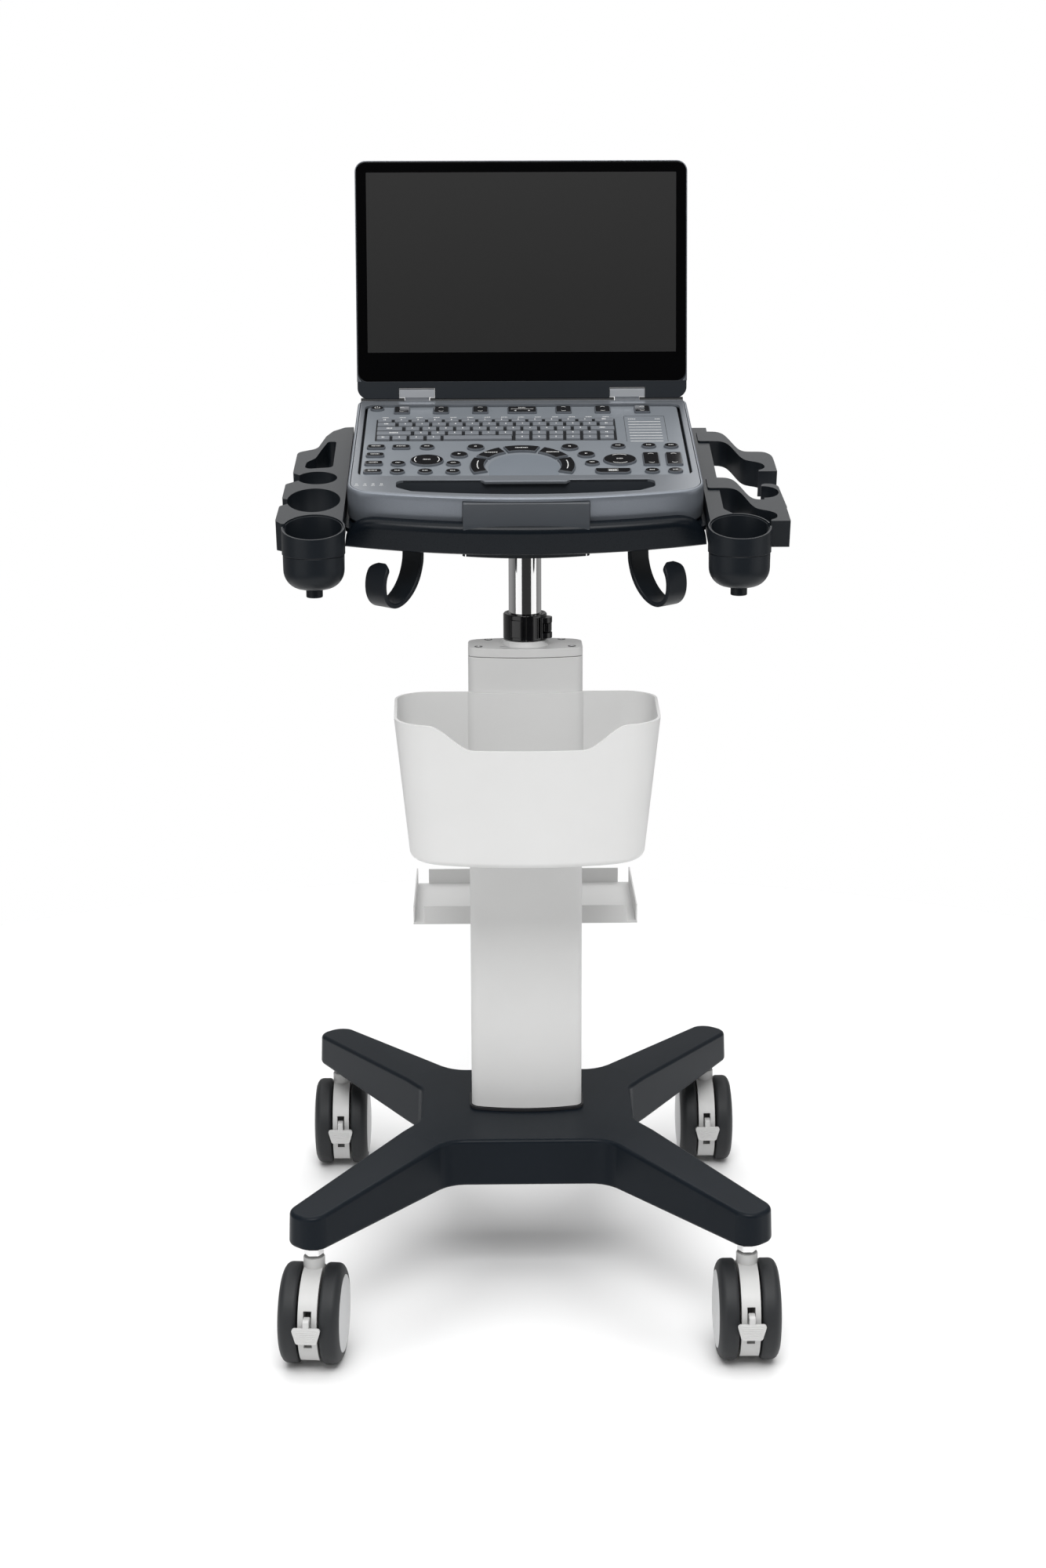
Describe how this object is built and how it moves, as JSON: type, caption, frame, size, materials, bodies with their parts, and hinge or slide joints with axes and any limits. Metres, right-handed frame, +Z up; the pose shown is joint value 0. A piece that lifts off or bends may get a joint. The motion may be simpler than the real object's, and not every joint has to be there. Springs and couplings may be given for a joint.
{
  "type": "ultrasound machine",
  "caption": "Laptop-style ultrasound console with folding screen on a height-adjustable column, caster base, probe and gel holders, cable hooks, basket and rear shelf.",
  "frame": {"origin": "on the floor, under the middle of the machine's outer box", "axes": "+Z up, +X to the operator's right, the operator stands at -Y"},
  "size_m": [0.5296, 0.638, 1.2054],
  "materials": {
    "slate_paint": "satin dark slate",
    "base_casting": "satin dark slate paint",
    "column_extrusion": "satin warm white powder coat",
    "slate_plastic": "satin dark slate",
    "holder_plastic": "fine matte dark grey",
    "body_white": "satin warm white powder coat",
    "basket_plastic": "matte warm white",
    "caster_plastic": "matte light grey",
    "tyre_rubber": "matte dark grey tread, light grey disc",
    "steel": "polished",
    "black_plastic": "gloss black",
    "console_silver": "satin metallic grey",
    "panel_grey": "satin grey",
    "key_grey": "matte dark grey",
    "circuit_board": "green solder mask",
    "battery_pack": "matte black",
    "screen_glass": "gloss black glass, opaque",
    "display_metal": "brushed",
    "hinge_silver": "satin",
    "gasket_rubber": "matte black"
  },
  "bodies": {
    "trolley": {"base_frame": "base_casting", "column_gasket": "gasket_rubber", "column": "column_extrusion", "column_cap": "column_extrusion", "gas_spring_body": "slate_paint", "clamp_collar": "black_plastic", "basket": "basket_plastic", "rear_shelf": "body_white", "front_left_stem": "steel", "front_right_stem": "steel", "rear_left_stem": "steel", "rear_right_stem": "steel"},
    "front_left_swivel": {"front_left_housing": "caster_plastic"},
    "front_left_left_wheel": {"front_left_wheel_left": "tyre_rubber"},
    "front_left_right_wheel": {"front_left_wheel_right": "tyre_rubber"},
    "front_left_brake": {"front_left_pedal": "caster_plastic"},
    "front_right_swivel": {"front_right_housing": "caster_plastic"},
    "front_right_left_wheel": {"front_right_wheel_left": "tyre_rubber"},
    "front_right_right_wheel": {"front_right_wheel_right": "tyre_rubber"},
    "front_right_brake": {"front_right_pedal": "caster_plastic"},
    "rear_left_swivel": {"rear_left_housing": "caster_plastic"},
    "rear_left_left_wheel": {"rear_left_wheel_left": "tyre_rubber"},
    "rear_left_right_wheel": {"rear_left_wheel_right": "tyre_rubber"},
    "rear_left_brake": {"rear_left_pedal": "caster_plastic"},
    "rear_right_swivel": {"rear_right_housing": "caster_plastic"},
    "rear_right_left_wheel": {"rear_right_wheel_left": "tyre_rubber"},
    "rear_right_right_wheel": {"rear_right_wheel_right": "tyre_rubber"},
    "rear_right_brake": {"rear_right_pedal": "caster_plastic"},
    "carriage": {"lift_tube": "steel", "gas_spring_rod": "steel", "platform": "slate_plastic", "platform_mount": "slate_paint", "left_holder": "holder_plastic", "left_gel_cup": "holder_plastic", "right_rail": "holder_plastic", "right_gel_cup": "holder_plastic", "rear_cable_arm": "holder_plastic", "front_cable_arm": "holder_plastic", "left_cable_hook": "holder_plastic", "right_cable_hook": "holder_plastic", "console_base": "console_silver", "console_frame": "console_silver", "control_panel": "panel_grey", "keyboard": "key_grey", "trackpad": "panel_grey", "main_board": "circuit_board", "battery": "battery_pack", "left_hinge": "hinge_silver", "right_hinge": "hinge_silver"},
    "clamp": {"clamp_lever": "black_plastic"},
    "lid": {"lid_cover": "slate_plastic", "lid_glass": "screen_glass", "display_panel": "display_metal"},
    "power_button": {"power_button": "black_plastic"},
    "freeze_key": {"freeze_key": "black_plastic"},
    "angle_key": {"angle_key": "key_grey"},
    "menu_key": {"menu_key": "black_plastic"},
    "gain_key": {"gain_key": "key_grey"},
    "left_rocker": {"left_rocker": "key_grey"},
    "right_rocker": {"right_rocker": "key_grey"}
  },
  "joints": [
    {"name": "front_left_swivel_turn", "type": "hinge", "parent": "trolley", "child": "front_left_swivel", "pos_m": [-0.22365, -0.2526, 0.105], "axis": [0, 0, 1], "continuous": true},
    {"name": "front_left_left_roll", "type": "hinge", "parent": "front_left_swivel", "child": "front_left_left_wheel", "pos_m": [-0.22435, -0.26057, 0.0517], "axis": [0.9962, -0.0872, 0], "continuous": true},
    {"name": "front_left_right_roll", "type": "hinge", "parent": "front_left_swivel", "child": "front_left_right_wheel", "pos_m": [-0.22435, -0.26057, 0.0517], "axis": [0.9962, -0.0872, 0], "continuous": true},
    {"name": "front_left_brake_press", "type": "hinge", "parent": "front_left_swivel", "child": "front_left_brake", "pos_m": [-0.22696, -0.29046, 0.05], "axis": [0.9962, -0.0872, 0], "range_deg": [0, 12]},
    {"name": "front_right_swivel_turn", "type": "hinge", "parent": "trolley", "child": "front_right_swivel", "pos_m": [0.22365, -0.2526, 0.105], "axis": [0, 0, 1], "continuous": true},
    {"name": "front_right_left_roll", "type": "hinge", "parent": "front_right_swivel", "child": "front_right_left_wheel", "pos_m": [0.22365, -0.2606, 0.0517], "axis": [1, 0, 0], "continuous": true},
    {"name": "front_right_right_roll", "type": "hinge", "parent": "front_right_swivel", "child": "front_right_right_wheel", "pos_m": [0.22365, -0.2606, 0.0517], "axis": [1, 0, 0], "continuous": true},
    {"name": "front_right_brake_press", "type": "hinge", "parent": "front_right_swivel", "child": "front_right_brake", "pos_m": [0.22365, -0.2906, 0.05], "axis": [1, 0, 0], "range_deg": [0, 12]},
    {"name": "rear_left_swivel_turn", "type": "hinge", "parent": "trolley", "child": "rear_left_swivel", "pos_m": [-0.22365, 0.274, 0.105], "axis": [0, 0, 1], "continuous": true},
    {"name": "rear_left_left_roll", "type": "hinge", "parent": "rear_left_swivel", "child": "rear_left_left_wheel", "pos_m": [-0.22365, 0.266, 0.0517], "axis": [1, 0, 0], "continuous": true},
    {"name": "rear_left_right_roll", "type": "hinge", "parent": "rear_left_swivel", "child": "rear_left_right_wheel", "pos_m": [-0.22365, 0.266, 0.0517], "axis": [1, 0, 0], "continuous": true},
    {"name": "rear_left_brake_press", "type": "hinge", "parent": "rear_left_swivel", "child": "rear_left_brake", "pos_m": [-0.22365, 0.236, 0.05], "axis": [1, 0, 0], "range_deg": [0, 12]},
    {"name": "rear_right_swivel_turn", "type": "hinge", "parent": "trolley", "child": "rear_right_swivel", "pos_m": [0.22365, 0.274, 0.105], "axis": [0, 0, 1], "continuous": true},
    {"name": "rear_right_left_roll", "type": "hinge", "parent": "rear_right_swivel", "child": "rear_right_left_wheel", "pos_m": [0.22365, 0.266, 0.0517], "axis": [1, 0, 0], "continuous": true},
    {"name": "rear_right_right_roll", "type": "hinge", "parent": "rear_right_swivel", "child": "rear_right_right_wheel", "pos_m": [0.22365, 0.266, 0.0517], "axis": [1, 0, 0], "continuous": true},
    {"name": "rear_right_brake_press", "type": "hinge", "parent": "rear_right_swivel", "child": "rear_right_brake", "pos_m": [0.22365, 0.236, 0.05], "axis": [1, 0, 0], "range_deg": [0, 12]},
    {"name": "column_lift", "type": "slide", "parent": "trolley", "child": "carriage", "axis": [0, 0, 1], "range_m": [-0.045, 0.1]},
    {"name": "clamp_turn", "type": "hinge", "parent": "trolley", "child": "clamp", "pos_m": [0.0222, 0.0065, 0.72], "axis": [0, 0, -1], "range_deg": [0, 100]},
    {"name": "lid_open", "type": "hinge", "parent": "carriage", "child": "lid", "pos_m": [0, 0.18814, 0.953], "axis": [1, 0, 0], "range_deg": [-25, 113]},
    {"name": "power_button_press", "type": "slide", "parent": "carriage", "child": "power_button", "axis": [0, 0.2566, -0.9665], "range_m": [0, 0.001], "stiffness_N_per_m": 300, "springref_m": -0.001},
    {"name": "freeze_key_press", "type": "slide", "parent": "carriage", "child": "freeze_key", "axis": [0, 0.2566, -0.9665], "range_m": [0, 0.001], "stiffness_N_per_m": 300, "springref_m": -0.001},
    {"name": "angle_key_rock", "type": "hinge", "parent": "carriage", "child": "angle_key", "pos_m": [-0.1035, 0.01637, 0.89655], "axis": [0, 0.9665, 0.2566], "range_deg": [-2.5, 2.5], "stiffness_Nm_per_rad": 0.02},
    {"name": "menu_key_rock", "type": "hinge", "parent": "carriage", "child": "menu_key", "pos_m": [-0.0005, 0.15912, 0.93446], "axis": [0, 0.9665, 0.2566], "range_deg": [-2.5, 2.5], "stiffness_Nm_per_rad": 0.02},
    {"name": "gain_key_rock", "type": "hinge", "parent": "carriage", "child": "gain_key", "pos_m": [0.101, 0.01637, 0.89655], "axis": [1, 0, 0], "range_deg": [-2.5, 2.5], "stiffness_Nm_per_rad": 0.02},
    {"name": "left_rocker_rock", "type": "hinge", "parent": "carriage", "child": "left_rocker", "pos_m": [0.1343, 0.01782, 0.89694], "axis": [1, 0, 0], "range_deg": [-2.5, 2.5], "stiffness_Nm_per_rad": 0.02},
    {"name": "right_rocker_rock", "type": "hinge", "parent": "carriage", "child": "right_rocker", "pos_m": [0.1587, 0.01782, 0.89694], "axis": [1, 0, 0], "range_deg": [-2.5, 2.5], "stiffness_Nm_per_rad": 0.02}
  ]
}
